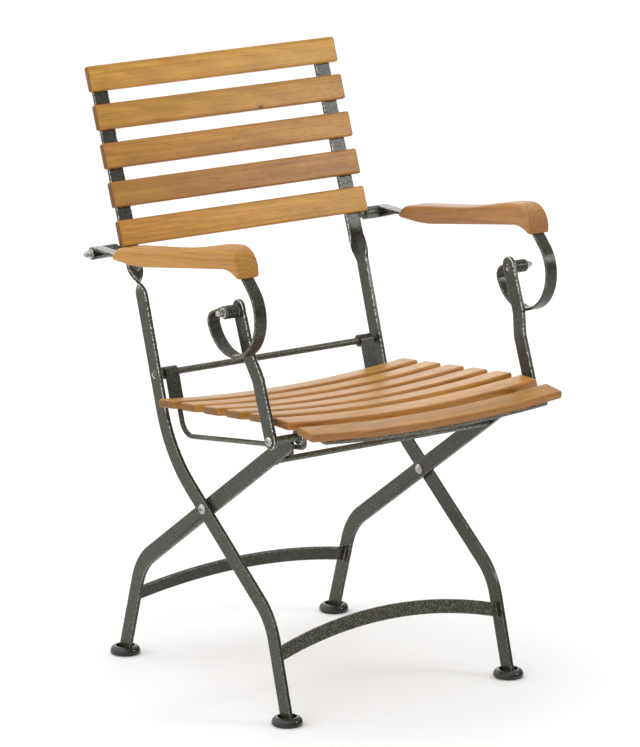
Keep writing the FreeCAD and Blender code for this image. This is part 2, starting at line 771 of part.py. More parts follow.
def armrest(screws):
    x_low = arm_x - armrest_width / 2
    wood = Part.Face(armrest_outline(x_low)).extrude(V(armrest_width, 0, 0))
    top = [edge for edge in flat_edges(wood) if edge.BoundBox.ZMax > armrest_crown[1] - same_place]
    wood = wood.makeFillet(armrest_edge_radius, top)
    low = []
    for edge in flat_edges(wood):
        on_side = abs(abs(edge.CenterOfMass.x - arm_x) - armrest_width / 2) < same_place
        is_low = edge.BoundBox.ZMax < hoof[1]
        if on_side and is_low and edge.Length > armrest_edge_radius:
            low.append(edge)
    wood = wood.makeFillet(armrest_low_radius, low)
    groove_low = strip_inner - groove_play
    groove_high = strip_outer + groove_play
    groove = ribbon(arm_strip_path()[1:7], -half_strip, half_strip + strip_thick, groove_low, groove_high)
    return wood.cut([groove] + screws)


# Arm posts
arm_post_length = distance(arm_post_pivot, scroll_pivot)
arm_post_lean = 90.0 - heading_to(arm_post_pivot, scroll_pivot)


def arm_post():
    """Flat bar cranked outwards, with rounded ends, built upright and then leaned into place."""
    step = arm_post_high_x - arm_post_low_x
    top = (step, arm_post_length + post_top_past_pin)
    corners = [(0.0, 0.0), (0.0, crank_start), (step, crank_start + crank_length), top]
    path = rounded(corners, [bar_width, bar_width])
    post = ribbon(path, -bar_thick / 2, bar_thick / 2, -half_bar, half_bar)
    post.rotate(V(0, 0, 0), V(0, 0, 1), -90)
    post = post.fuse([rod((0.0, 0.0), bar_width, -bar_thick / 2, bar_thick / 2),
                      rod((0.0, top[1]), bar_width, step - bar_thick / 2, step + bar_thick / 2)])
    post = post.removeSplitter()
    post = post.cut(rod((0.0, 0.0), pivot_bolt_dia + 2 * running_fit, -bar_thick, bar_thick))
    post = post.cut(rod((0.0, arm_post_length), pivot_bolt_dia, step - bar_thick, step + bar_thick))
    post.rotate(V(0, 0, 0), V(1, 0, 0), -arm_post_lean)
    post.translate(point_3d(arm_post_low_x, arm_post_pivot))
    return post


def scroll_pin():
    """Pin fixed to the arm post's top, with a flange against the scroll and a journal through its eye."""
    inner = arm_post_high_x - bar_thick / 2
    outer = arm_post_high_x + bar_thick / 2
    tail = rod(scroll_pivot, pivot_bolt_dia, inner, outer)
    flange = rod(scroll_pivot, eye_bore + 2 * strip_thick, outer, strip_inner - side_play)
    journal = rod(scroll_pivot, eye_bore - 2 * open_fit, strip_inner - side_play, strip_outer + side_play)
    return tail.fuse([flange, journal]).removeSplitter()


os.makedirs("parts", exist_ok=True)

back_screws = [back_screw(index) for index in range(back_slat_count)]
back_screw_pairs = both_sides(Part.Compound(back_screws))
post = back_post(back_screws)
save_pair("back_post", post)
for index in range(back_slat_count):
    save("back_slat_%d" % (index + 1), back_slat(index).cut(back_screw_pairs))
save("back_slat_screws", back_screw_pairs)
front_leg_mid = meet(front_foot, 90.0 - front_leg_lean, (0.0, front_stretcher_z), 0.0)
save("front_stretcher", arched_bar(front_leg_mid, 90.0 - front_leg_lean, post_inner, front_stretcher_arch))
save("seat_hinge_rod", rod(seat_hinge, hinge_rod_dia, -post_outer, post_outer))
save_pair("front_foot", foot(post_x, front_foot_y, post))
save_pair("arm_boss", arm_boss())
save("arm_pivot_bolts", both_sides(cap_nut(arm_pivot, strip_outer + side_play)))
save("leg_pivot_bolts", both_sides(leg_pivot_bolt()))
save("leg_pivot_washers", both_sides(leg_pivot_washer()))

leg = rear_leg()
rear_leg_x = (rear_leg_inner + rear_leg_outer) / 2
rear_leg_mid = meet(rear_foot, rear_low_heading, (0.0, rear_stretcher_z), 0.0)
save_pair("rear_leg", leg)
save("rear_stretcher", arched_bar(rear_leg_mid, rear_low_heading, rear_leg_inner, rear_stretcher_arch))
save("leg_cross_bar", cross_bar())
save_pair("rear_foot", foot(rear_leg_x, rear_foot_y, leg))
save_pair("slider_pin", slider_pin())

seat_screws = [seat_screw(index) for index in range(seat_slat_count)]
seat_screw_pairs = both_sides(Part.Compound(seat_screws))
rail = seat_rail(seat_screws)
save_pair("seat_rail", rail)
for index in range(seat_slat_count):
    save("seat_slat_%d" % (index + 1), seat_slat(index).cut(seat_screw_pairs))
save("seat_screws", seat_screw_pairs)
save("front_strip", front_strip(rail))
save_pair("guide_rod", guide_rod(rail))
save_pair("post_bracket", post_bracket(rail))
post_face = arm_post_low_x + bar_thick / 2 + side_play
post_head = dome_head(arm_post_pivot, post_head_dia, head_height, post_face, 1)
save("post_bolts", both_sides(post_head))

arm_screws = [arm_screw(share) for share in arm_screw_places]
save_pair("armrest", armrest(arm_screws))
save_pair("arm_strip", arm_strip(arm_screws))
save_pair("arm_screws", Part.Compound(arm_screws))
save_pair("arm_post", arm_post())
save_pair("scroll_pin", scroll_pin())
save_pair("scroll_bolt", cap_nut(scroll_pivot, strip_outer + side_play))
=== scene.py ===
"""Looks of the folding armchair: satin hardwood slats on a hammer-painted steel frame.

Metres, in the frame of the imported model: +Z up, the sitter faces -Y and +X is the sitter's left.
"""
import math
import random

import bpy
import numpy
from mathutils import Matrix, Vector


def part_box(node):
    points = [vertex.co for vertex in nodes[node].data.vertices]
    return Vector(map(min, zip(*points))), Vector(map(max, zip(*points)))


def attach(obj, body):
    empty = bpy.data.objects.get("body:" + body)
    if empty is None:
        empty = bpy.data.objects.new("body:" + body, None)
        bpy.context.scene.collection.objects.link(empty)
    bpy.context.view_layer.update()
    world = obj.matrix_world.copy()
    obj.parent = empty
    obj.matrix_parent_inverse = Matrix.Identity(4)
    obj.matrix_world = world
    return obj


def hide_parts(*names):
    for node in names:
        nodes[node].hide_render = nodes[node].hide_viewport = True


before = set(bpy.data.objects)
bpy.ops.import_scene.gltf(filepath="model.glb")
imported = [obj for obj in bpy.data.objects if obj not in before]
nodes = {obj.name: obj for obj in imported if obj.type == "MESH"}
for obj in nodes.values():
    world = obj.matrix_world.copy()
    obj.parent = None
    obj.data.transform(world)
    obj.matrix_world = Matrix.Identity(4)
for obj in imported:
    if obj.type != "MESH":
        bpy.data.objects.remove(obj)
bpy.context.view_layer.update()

# Camera, as fitted to the photograph
image_height = 747
focal_pixels = 4968
camera_azimuth = 35.69
camera_elevation = 13.65
camera_distance = 7.2
camera_aim = Vector((0.0, 0.002, 0.445))
sensor = 36.0

# Light from all around: brighter overhead, to the left and behind the chair
sky_low = 0.45
sky_overhead = 1.1
sky_left = 0.55
sky_behind = 0.4
sky_least = 0.05
floor_size = 60.0

# Rounded edges of the painted bars, and the angles that count as an edge
bar_edge = 0.0012
edge_steps = 3
sharp_angle = math.radians(32)
flat_angle = math.radians(0.2)
piece_crease = math.radians(50)
merge_distance = 2e-6

# Ways the boards lie
arm_rise = math.radians(8)
back_face = (0.0, -0.9415, 0.337)
up_face = (0.0, 0.0, 1.0)

# Growth rings: where the pith may lie behind a board, how much it leans, and how wide a ring is
pith_aside = 0.016
pith_depth = (0.025, 0.05)
pith_lean = (0.03, 0.07)
ring_width = (0.0045, 0.007)

# Pattern of the hammered paint, in features to the metre
wobble_density = 260.0
dimple_density = 780.0
grain_density = 1100.0
blotch_density = 210.0
cloud_density = 18.0
wobble_reach = 0.0008

# Pivots of the arms, as places in Y and Z
arm_pivot = (0.19856, 0.62168)
scroll_pivot = (-0.13743, 0.59672)

# Weld beads: places of the bars that they hold, in the middle of the chair, and where these bars end
bead_sides = 10
bead_ripple = 0.16
bead_ripple_pace = 1.9
bead_unevenness = 0.12
stretcher_bead = 0.0023
stretcher_bead_half = 0.0115
stretcher_bead_out = 0.0034
stretcher_bead_steps = 11
ring_bead = 0.0018
ring_bead_steps = 28
front_middle = Vector((0.0, -0.1666, 0.0955))
front_lean = math.radians(16.0)
front_end = 0.1938
rear_middle = Vector((0.0, 0.2015, 0.0975))
rear_lean = math.radians(-17.1)
rear_end = 0.1867
cross_middle = Vector((0.0, -0.1526, 0.3758))
cross_end = 0.1868
cross_radius = 0.0046
boss_middle = Vector((0.0, *arm_pivot))
boss_end = 0.2115
boss_radius = 0.0058

# Screws with a cross recess
turned_sides = 48
head_radius = 0.0035
head_height = 0.0022
head_rings = 17
shank_radius = 0.002
recess_reach = 0.0019
recess_half = 0.0005
recess_depth = 0.0011
recess_wall = 0.00022

# Domed heads with a hexagon socket
dome_shares = (0.94, 0.86, 0.76, 0.65, 0.54)
socket_depth = 0.0026
socket_lip = 0.0002
socket_mouth_share = 1.08
socket_floor_share = 0.95

# Leg pivot bolts, and the domed caps on their inner ends
pivot_place = (0.012, 0.271)
pivot_seat = 0.201
pivot_grip = 0.0132
pivot_shank = 0.004
pivot_head = 0.008
pivot_rim = 0.001
pivot_rise = 0.0035
pivot_socket = 0.0025
pivot_cap_radii = (0.0006, 0.003, 0.005, 0.0067)

# Bolts of the arm posts
bracket_place = (-0.20299, 0.42103)
bracket_seat = 0.2341
bracket_head = 0.007
bracket_rim = 0.0014
bracket_rise = 0.0031
bracket_socket = 0.0022

# Cap nuts on the arms' pins, with their washers
nut_seat = 0.2651
washer_radius = 0.0075
washer_rim = 0.0014
washer_top_radius = 0.0071
washer_height = 0.0018
nut_half = 0.0051
nut_top = 0.0066
nut_cap_base = 0.0071
nut_cap_radius = 0.0049
nut_cap_rise = 0.0057
nut_cap_steps = 8
nut_cap_tilt = 12


class Graph:
    """A node tree with one shader, and short ways to add its nodes."""

    def __init__(self, owner, shader):
        owner.use_nodes = True
        self.owner = owner
        self.tree = owner.node_tree
        self.shader = self.tree.nodes[shader]

    def put(self, socket, value):
        if isinstance(value, bpy.types.NodeSocket):
            self.tree.links.new(value, socket)
        else:
            socket.default_value = value

    def node(self, kind, inputs, **settings):
        made = self.tree.nodes.new(kind)
        for key, value in settings.items():
            setattr(made, key, value)
        for key, value in inputs.items():
            self.put(made.inputs[key], value)
        return made

    def math(self, operation, first, second=0.0, third=0.0):
        made = self.node("ShaderNodeMath", {0: first, 1: second, 2: third}, operation=operation)
        return made.outputs[0]

    def sway(self, share, amount, base=1.0):
        """Base, moved up and down by an amount as a share goes from 0 to 1."""
        return self.math("MULTIPLY_ADD", self.math("SUBTRACT", share, 0.5), amount, base)

    def vector(self, operation, first, second=(0.0, 0.0, 0.0)):
        made = self.node("ShaderNodeVectorMath", {0: first, 1: second}, operation=operation)
        return made.outputs["Value"] if operation in ("LENGTH", "DOT_PRODUCT") else made.outputs["Vector"]

    def parts(self, vector):
        return self.node("ShaderNodeSeparateXYZ", {0: vector}).outputs

    def mix(self, share, first, second, blend="MIX"):
        made = self.node("ShaderNodeMix", {0: share, 6: first, 7: second}, data_type="RGBA", blend_type=blend)
        return made.outputs[2]

    def part_mix(self, share, amount, first, second):
        """Mix towards the second colour by an amount of a share."""
        return self.mix(self.math("MULTIPLY", share, amount), first, second)

    def noise(self, place, scale, detail=3.0, roughness=0.5, distortion=0.0, output="Fac"):
        made = self.node("ShaderNodeTexNoise", {"Vector": place, "Scale": scale, "Detail": detail,
                                                "Roughness": roughness, "Distortion": distortion})
        return made.outputs[output]

    def cells(self, place, scale):
        return self.node("ShaderNodeTexVoronoi", {"Vector": place, "Scale": scale}).outputs

    def ramp(self, share, low, high):
        """0 below low, 1 above high, smooth in between."""
        made = self.node("ShaderNodeMapRange", {"Value": share, "From Min": low, "From Max": high},
                         interpolation_type="SMOOTHSTEP")
        return made.outputs["Result"]

    def bump(self, height, strength, distance):
        made = self.node("ShaderNodeBump", {"Height": height, "Strength": strength, "Distance": distance})
        return made.outputs["Normal"]

    def finish(self, **sockets):
        for key, value in sockets.items():
            self.put(self.shader.inputs[key.replace("_", " ")], value)
        return self.owner


def material_graph(name):
    return Graph(bpy.data.materials.new(name), "Principled BSDF")


def rgb(red, green, blue):
    return (red, green, blue, 1.0)


def shaded(colour, share):
    """A darker colour, redder as it darkens."""
    return rgb(colour[0] * share, colour[1] * share ** 1.15, colour[2] * share ** 1.3)


def growth_rings(graph, place, long_axis, face, warp, fine_warp, draw):
    """Share of late wood in the rings about a slightly tilted pith behind a board."""
    grain_way = Vector((0.0, 0.0, 0.0))
    grain_way[long_axis] = 1.0
    aside = Vector(face).cross(grain_way) * draw.uniform(-pith_aside, pith_aside)
    pith = aside - Vector(face) * draw.uniform(*pith_depth)
    slope = draw.choice((-1, 1)) * draw.uniform(*pith_lean)
    lean = graph.math("MULTIPLY", graph.parts(place)[long_axis], slope)
    from_pith = graph.vector("SUBTRACT", place, tuple(pith))
    leaning = graph.vector("ADD", from_pith, graph.vector("MULTIPLY", lean, face))
    level = [1.0, 1.0, 1.0]
    level[long_axis] = 0.0
    radius = graph.vector("LENGTH", graph.vector("MULTIPLY", leaning, tuple(level)))
    radius = graph.math("MULTIPLY_ADD", warp, 0.02, radius)
    radius = graph.math("MULTIPLY_ADD", fine_warp, 0.0016, radius)
    wave = graph.math("SINE", graph.math("MULTIPLY", radius, 2 * math.pi / draw.uniform(*ring_width)))
    return graph.ramp(wave, -0.9, 1.0)


def with_knot(graph, colour, deep, place, knot, warp):
    """A board's colour with one small knot and the deeper wood around it."""
    reach = graph.vector("MULTIPLY", graph.vector("SUBTRACT", place, knot), (0.6, 1.0, 1.0))
    near = graph.math("MULTIPLY_ADD", warp, 0.002, graph.vector("LENGTH", reach))
    halo = graph.math("SUBTRACT", 1.0, graph.ramp(near, 0.002, 0.013))
    core = graph.math("SUBTRACT", 1.0, graph.ramp(near, 0.0026, 0.0046))
    colour = graph.part_mix(halo, 0.4, colour, deep)
    return graph.part_mix(core, 0.85, colour, knot_brown)


def end_grain(graph, moved, ring, pale, deep, end_grain_and_shade):
    """Colour of a board's speckled ends: darker end grain, with painted shade."""
    speck = graph.ramp(graph.noise(moved, 900.0, 2.0, 0.6), 0.35, 0.7)
    colour = graph.mix(speck, shaded(pale, end_grain_and_shade * 0.7), shaded(pale, end_grain_and_shade * 1.1))
    colour = graph.part_mix(ring, 0.4, colour, shaded(deep, end_grain_and_shade * 0.75))
    mottle = graph.ramp(graph.noise(moved, 170.0, 3.0, 0.6), 0.45, 0.7)
    return graph.part_mix(mottle, 0.5, colour, shaded(deep, end_grain_and_shade * 0.85))


def wood(name, seed, along, face, tones, painted_side_shade, knot=None):
    """Satin hardwood for one board.

    The grain runs along X, or along Y up the rise of an armrest. Face is the way the board's wide side
    looks, tones are its pale and deep colours and the brightness of its ends, which is darker end grain with
    painted shade on it, and the last argument is the painted shade on its narrow sides, as a share of their
    brightness.
    """
    pale, deep, end_grain_and_shade = tones
    draw = random.Random(seed)
    graph = material_graph("wood_" + name)
    spot = graph.node("ShaderNodeTexCoord", {})
    low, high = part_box(name)
    middle = (Vector(low) + Vector(high)) / 2
    place = graph.vector("SUBTRACT", spot.outputs["Object"], tuple(middle))
    long_axis = "XYZ".index(along)
    if along == "Y":
        place = graph.node("ShaderNodeVectorRotate", {"Vector": place, "Angle": arm_rise},
                           rotation_type="X_AXIS").outputs[0]
    shift = tuple(draw.uniform(-3.0, 3.0) for _ in range(3))
    moved = graph.vector("ADD", place, shift)

    def fibrous(lengthwise, crosswise, detail=3.0, roughness=0.55, distortion=0.0):
        """Noise with so many features to the metre along and across the grain."""
        factors = [crosswise] * 3
        factors[long_axis] = lengthwise
        stretched = graph.vector("MULTIPLY", moved, tuple(factors))
        return graph.noise(stretched, 1.0, detail, roughness, distortion)

    warp = fibrous(3.0, 12.0)
    fine_warp = fibrous(12.0, 80.0, 2.0, 0.5)
    ring = growth_rings(graph, place, long_axis, face, warp, fine_warp, draw)

    # Streaks, bands, fine lines, fibres, pores, cloudy patches and a faint ripple across the grain
    streak = graph.ramp(fibrous(1.3, 60.0, distortion=0.4), 0.42, 0.7)
    band = graph.ramp(fibrous(1.6, 130.0, distortion=0.3), 0.46, 0.68)
    line = graph.ramp(fibrous(3.0, 260.0, roughness=0.6), 0.47, 0.68)
    fibre = fibrous(9.0, 620.0, roughness=0.6)
    pore = graph.ramp(fibrous(60.0, 1100.0, 2.0, 0.5), 0.62, 0.72)
    cloud = fibrous(5.0, 16.0)
    ripple = fibrous(45.0, 70.0, roughness=0.6)

    colour = graph.part_mix(ring, 0.34, pale, deep)
    colour = graph.part_mix(streak, 0.4, colour, deep)
    colour = graph.part_mix(band, 0.4, colour, deep)
    colour = graph.part_mix(line, 0.42, colour, shaded(deep, 0.75))
    shade = graph.sway(fibre, 0.55)
    shade = graph.sway(cloud, 0.6, shade)
    shade = graph.sway(ripple, 0.3, shade)
    shade = graph.math("SUBTRACT", shade, graph.math("MULTIPLY", pore, 0.26))
    tint = graph.node("ShaderNodeCombineXYZ", {0: shade, 1: graph.math("POWER", shade, 1.12),
                                               2: graph.math("POWER", shade, 1.3)})
    colour = graph.mix(1.0, colour, tint.outputs[0], "MULTIPLY")
    if knot is not None:
        colour = with_knot(graph, colour, deep, spot.outputs["Object"], knot, fine_warp)

    # Painted shade on narrow sides, and end grain with painted shade where the surface faces along the fibres
    turned = graph.math("ABSOLUTE", graph.vector("DOT_PRODUCT", spot.outputs["Normal"], face))
    side_shade_tint = rgb(painted_side_shade, painted_side_shade ** 1.7, painted_side_shade ** 3.0)
    side_shade_colour = graph.mix(1.0, colour, side_shade_tint, "MULTIPLY")
    colour = graph.mix(graph.ramp(turned, 0.7, 0.97), side_shade_colour, colour)
    end = graph.ramp(graph.math("ABSOLUTE", graph.parts(spot.outputs["Normal"])[long_axis]), 0.6, 0.93)
    colour = graph.mix(end, colour, end_grain(graph, moved, ring, pale, deep, end_grain_and_shade))

    rough = graph.math("MULTIPLY_ADD", fibre, 0.16, 0.28)
    rough = graph.math("MULTIPLY_ADD", end, 0.2, rough)
    height = graph.math("MULTIPLY_ADD", pore, -0.8, fibre)
    height = graph.math("MULTIPLY_ADD", ring, -0.15, height)
    normal = graph.bump(height, 0.35, 0.0004)
    return graph.finish(Base_Color=colour, Roughness=rough, Normal=normal, Specular_IOR_Level=0.5)


def hammered_paint(name, dark, light, fleck_share, cover, relief=0.6, gloss=0.5, narrow_face_shade=1.0, coarse=1.0,
                   fade=None):
    """Hammer-tone paint: shallow dimples a millimetre or two wide, with silvery flecks among them.

    The flecks have a strength and a cover, relief is the dimples' strength and gloss the paint's. The narrow
    face shade darkens the narrow faces of a bar whose wide faces look along X with painted shade, coarse
    widens dimples and flecks, and fade is the range of heights in which the flecks come up to their full
    strength.
    """
    graph = material_graph(name)
    spot = graph.node("ShaderNodeTexCoord", {})
    place = spot.outputs["Object"]
    wobble = graph.noise(place, wobble_density, 2.0, output="Color")
    bent = graph.vector("ADD", place, graph.vector("MULTIPLY", wobble, (wobble_reach,) * 3))
    cells = graph.cells(bent, dimple_density / coarse)
    grain = graph.noise(place, grain_density / coarse, 2.0, 0.6)
    blotch = graph.noise(place, blotch_density, 3.0, 0.6)
    cloud = graph.noise(place, cloud_density, 3.0, 0.5)

    chance = graph.sway(blotch, 0.25, graph.parts(cells["Color"])[0])
    chosen = graph.ramp(chance, 0.9 - cover, 1.08 - cover)
    fleck = graph.math("MULTIPLY", chosen, graph.ramp(grain, 0.36, 0.54))
    fleck = graph.math("MULTIPLY", fleck, fleck_share)
    if fade is not None:
        level = graph.ramp(graph.parts(place)[2], *fade)
        fleck = graph.math("MULTIPLY", fleck, graph.math("MULTIPLY_ADD", level, 0.8, 0.2))

    base = dark
    # Painted shade: the narrow faces of a bar darker than its wide faces
    if narrow_face_shade < 1.0:
        side = graph.math("ABSOLUTE", graph.parts(spot.outputs["Normal"])[0])
        base = graph.mix(graph.ramp(side, 0.35, 0.8), shaded(dark, narrow_face_shade), dark)
    base = graph.part_mix(graph.ramp(cloud, 0.4, 0.75), 0.35, base, shaded(dark, 1.3))
    shade = graph.sway(blotch, 0.4)
    tint = graph.node("ShaderNodeCombineXYZ", {0: shade, 1: shade, 2: shade})
    colour = graph.mix(1.0, base, tint.outputs[0], "MULTIPLY")
    colour = graph.mix(fleck, colour, light)

    rough = graph.math("MULTIPLY_ADD", grain, 0.14, 0.15)
    rise = graph.ramp(cells["Distance"], 0.0, 0.38)
    height = graph.math("MULTIPLY_ADD", grain, 0.08, rise)
    normal = graph.bump(height, relief, 0.0005)
    return graph.finish(Base_Color=colour, Roughness=rough, Normal=normal, Metallic=fleck,
                        Specular_IOR_Level=gloss)


def gloss_plastic(name):
    """Black moulded plastic with grey scuffs."""
    graph = material_graph(name)
    place = graph.node("ShaderNodeTexCoord", {}).outputs["Object"]
    mould = graph.noise(place, 700.0, 3.0, 0.6)
    scuff = graph.ramp(graph.noise(place, 90.0, 4.0, 0.7, 1.2), 0.55, 0.75)
    colour = graph.part_mix(scuff, 0.4, rgb(0.016, 0.016, 0.014), rgb(0.09, 0.09, 0.08))
    rough = graph.math("MULTIPLY_ADD", scuff, 0.22, 0.14)
    normal = graph.bump(mould, 0.12, 0.0003)
    return graph.finish(Base_Color=colour, Roughness=rough, Normal=normal, Specular_IOR_Level=0.5)


def zinc(name):
    """Zinc plate with grime in patches."""
    graph = material_graph(name)
    place = graph.node("ShaderNodeTexCoord", {}).outputs["Object"]
    spangle = graph.noise(place, 420.0, 4.0, 0.65)
    grime = graph.ramp(graph.noise(place, 260.0, 3.0, 0.6), 0.48, 0.72)
    colour = graph.mix(spangle, rgb(0.3, 0.3, 0.285), rgb(0.6, 0.6, 0.57))
    colour = graph.part_mix(grime, 0.6, colour, rgb(0.12, 0.115, 0.1))
    rough = graph.math("MULTIPLY_ADD", grime, 0.3, 0.18)
    normal = graph.bump(spangle, 0.25, 0.0003)
    return graph.finish(Base_Color=colour, Roughness=rough, Normal=normal, Metallic=1.0)


def clean_shading():
    """Node group that joins split vertices and shades smoothly between sharp edges."""
    tree = bpy.data.node_groups.new("clean_shading", "GeometryNodeTree")
    tree.interface.new_socket("Geometry", in_out="INPUT", socket_type="NodeSocketGeometry")
    tree.interface.new_socket("Geometry", in_out="OUTPUT", socket_type="NodeSocketGeometry")
    start = tree.nodes.new("NodeGroupInput")
    plain = tree.nodes.new("GeometryNodeRemoveAttribute")
    plain.inputs["Name"].default_value = "custom_normal"
    merge = tree.nodes.new("GeometryNodeMergeByDistance")
    merge.inputs["Distance"].default_value = merge_distance
    smooth = tree.nodes.new("GeometryNodeSetShadeSmooth")
    angle = tree.nodes.new("GeometryNodeInputMeshEdgeAngle")
    sharp = tree.nodes.new("FunctionNodeCompare")
    sharp.data_type = "FLOAT"
    sharp.operation = "GREATER_THAN"
    sharp.inputs[1].default_value = sharp_angle
    crease = tree.nodes.new("GeometryNodeSetShadeSmooth")
    crease.domain = "EDGE"
    crease.inputs["Shade Smooth"].default_value = False
    end = tree.nodes.new("NodeGroupOutput")
    for first, second in ((start, plain), (plain, merge), (merge, smooth), (smooth, crease), (crease, end)):
        tree.links.new(first.outputs[0], second.inputs[0])
    tree.links.new(angle.outputs["Unsigned Angle"], sharp.inputs[0])
    tree.links.new(sharp.outputs[0], crease.inputs["Selection"])
    return tree


shading = clean_shading()


def dress(name, material, edge_material=None):
    """Gives a CAD node its material and clean shading, and rounded edges where these have a material."""
    piece = nodes[name]
    piece.data.materials.clear()
    piece.data.materials.append(material)
    clean = piece.modifiers.new("clean", "NODES")
    clean.node_group = shading
    if edge_material is not None:
        piece.data.materials.append(edge_material)
        flat = piece.modifiers.new("flat", "DECIMATE")
        flat.decimate_type = "DISSOLVE"
        flat.angle_limit = flat_angle
        bevel = piece.modifiers.new("edge", "BEVEL")
        bevel.width = bar_edge
        bevel.segments = edge_steps
        bevel.limit_method = "ANGLE"
        bevel.angle_limit = sharp_angle
        bevel.harden_normals = True
        bevel.use_clamp_overlap = False
        bevel.material = 1


# Materials. The corners of the posts are worn bright above the seat, and those of other bars only faintly
# The bars whose wide faces look along X take a darker, less flecked copy of the same paint: painted shade
side_shade_base = rgb(0.023, 0.0228, 0.0115)
front_soot = rgb(0.04, 0.0395, 0.025)
weld_soot = rgb(0.055, 0.043, 0.028)
silver = rgb(0.5, 0.5, 0.43)
bare_silver = rgb(0.85, 0.85, 0.79)
weld_silver = rgb(0.4, 0.38, 0.32)
knot_brown = rgb(0.09, 0.035, 0.012)
worn_heights = (0.3, 0.42)
side_paint = hammered_paint("side_paint", side_shade_base, silver, 0.1, 0.3, relief=0.5, gloss=0.38, narrow_face_shade=0.9)
front_paint = hammered_paint("front_paint", front_soot, silver, 0.4, 0.36)
worn_paint = hammered_paint("worn_edge_paint", front_soot, bare_silver, 1.0, 0.52, coarse=1.3,
                            fade=worn_heights)
faint_paint = hammered_paint("faint_edge_paint", front_soot, silver, 0.55, 0.4, coarse=1.6)
weld_paint = hammered_paint("weld_paint", weld_soot, weld_silver, 0.7, 0.3)
plastic = gloss_plastic("foot_plastic")
bright = zinc("zinc_plate")

# Tones of the boards, pale and deep, and how bright their ends are: darker end grain and painted shade
board_tones = {
    "back_slat_1": (rgb(0.62, 0.315, 0.045), rgb(0.41, 0.18, 0.02), 0.4),
    "back_slat_2": (rgb(0.53, 0.258, 0.035), rgb(0.37, 0.157, 0.018), 0.4),
    "back_slat_3": (rgb(0.53, 0.247, 0.035), rgb(0.36, 0.145, 0.017), 0.4),
    "back_slat_4": (rgb(0.465, 0.22, 0.034), rgb(0.305, 0.125, 0.016), 0.4),
    "back_slat_5": (rgb(0.6, 0.284, 0.033), rgb(0.44, 0.185, 0.017), 0.4),
    "seat_slat_1": (rgb(0.53, 0.265, 0.045), rgb(0.36, 0.15, 0.02), 0.45),
    "seat_slat_2": (rgb(0.57, 0.295, 0.05), rgb(0.41, 0.187, 0.024), 0.45),
    "seat_slat_3": (rgb(0.56, 0.285, 0.05), rgb(0.385, 0.17, 0.022), 0.45),
    "seat_slat_4": (rgb(0.56, 0.29, 0.052), rgb(0.375, 0.17, 0.023), 0.45),
    "seat_slat_5": (rgb(0.57, 0.29, 0.045), rgb(0.4, 0.18, 0.02), 0.45),
    "seat_slat_6": (rgb(0.56, 0.265, 0.04), rgb(0.4, 0.16, 0.018), 0.5),
    "seat_slat_7": (rgb(0.45, 0.215, 0.033), rgb(0.29, 0.122, 0.016), 0.75),
    "armrest_left": (rgb(0.415, 0.198, 0.052), rgb(0.31, 0.12, 0.026), 0.9),
    "armrest_right": (rgb(0.515, 0.243, 0.03), rgb(0.4, 0.165, 0.016), 0.95),
}
# Painted shade on the boards' narrow sides, as a share of the wide faces' brightness
arm_painted_side_shade = 0.95
slat_painted_side_shade = 0.8
knot_places = {"back_slat_2": (0.0648, 0.2416, 0.7939)}
for seed, (name, tones) in enumerate(board_tones.items()):
    if name.startswith("armrest"):
        material = wood(name, seed, "Y", up_face, tones, arm_painted_side_shade)
    elif name.startswith("back"):
        material = wood(name, seed, "X", back_face, tones, slat_painted_side_shade, knot_places.get(name))
    else:
        material = wood(name, seed, "X", up_face, tones, slat_painted_side_shade)
    dress(name, material)

# The other nodes. The rolled eyes of the seat rails leave no room for rounded edges
side_bars = ("back_post", "rear_leg", "rear_stretcher", "seat_rail", "arm_strip", "arm_post")
worn_bars = ("back_post", "arm_post", "post_bracket")
for name in nodes:
    if name in board_tones:
        continue
    if "foot" in name:
        dress(name, plastic)
    elif "bolt" in name or "screws" in name or "washers" in name:
        dress(name, bright)
    elif name.startswith("seat_rail"):
        dress(name, side_paint)
    else:
        # Bars facing along X get the darker copy of the paint, with painted shade
        paint = side_paint if name.startswith(side_bars) else front_paint
        dress(name, paint, worn_paint if name.startswith(worn_bars) else faint_paint)


# Pieces of their own
def add_piece(name, points, faces, material, body, slot):
    mesh = bpy.data.meshes.new(name)
    mesh.from_pydata(points, [], faces)
    mesh.validate()
    mesh.shade_smooth()
    mesh.set_sharp_from_angle(angle=piece_crease)
    mesh.materials.append(material)
    made = bpy.data.objects.new(name, mesh)
    bpy.context.scene.collection.objects.link(made)
    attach(made, body)
    return made


def gather(groups):
    """One list of points and faces from several."""
    points = []
    faces = []
    for more_points, more_faces in groups:
        start = len(points)
        points += [tuple(point) for point in more_points]
        faces += [tuple(start + corner for corner in face) for face in more_faces]
    return points, faces


def bead(path, closed, normal, radius, draw):
    """Points and faces of a rippled weld bead along a path of points that lies in one plane."""
    count = len(path)
    points = []
    for index, middle in enumerate(path):
        before = path[index - 1] if closed or index else middle
        after = path[(index + 1) % count] if closed or index < count - 1 else middle
        across = (after - before).normalized().cross(normal)
        share = index / (count - 1)
        taper = 1.0 if closed else math.sin(math.pi * (0.12 + 0.76 * share)) ** 0.6
        ripple = bead_ripple * math.sin(index * bead_ripple_pace)
        size = radius * taper * (1.0 + ripple + draw.uniform(-bead_unevenness, bead_unevenness))
        for step in range(bead_sides):
            turn = 2 * math.pi * step / bead_sides
            points.append(middle + (across * math.cos(turn) + normal * math.sin(turn)) * size)
    faces = []
    for index in range(count if closed else count - 1):
        here = index * bead_sides
        there = (index + 1) % count * bead_sides
        for step in range(bead_sides):
            side = (step + 1) % bead_sides
            faces.append((here + step, there + step, there + side, here + side))
    if not closed:
        faces.append(tuple(range(bead_sides)))
        faces.append(tuple(range((count - 1) * bead_sides, count * bead_sides))[::-1])
    return points, faces


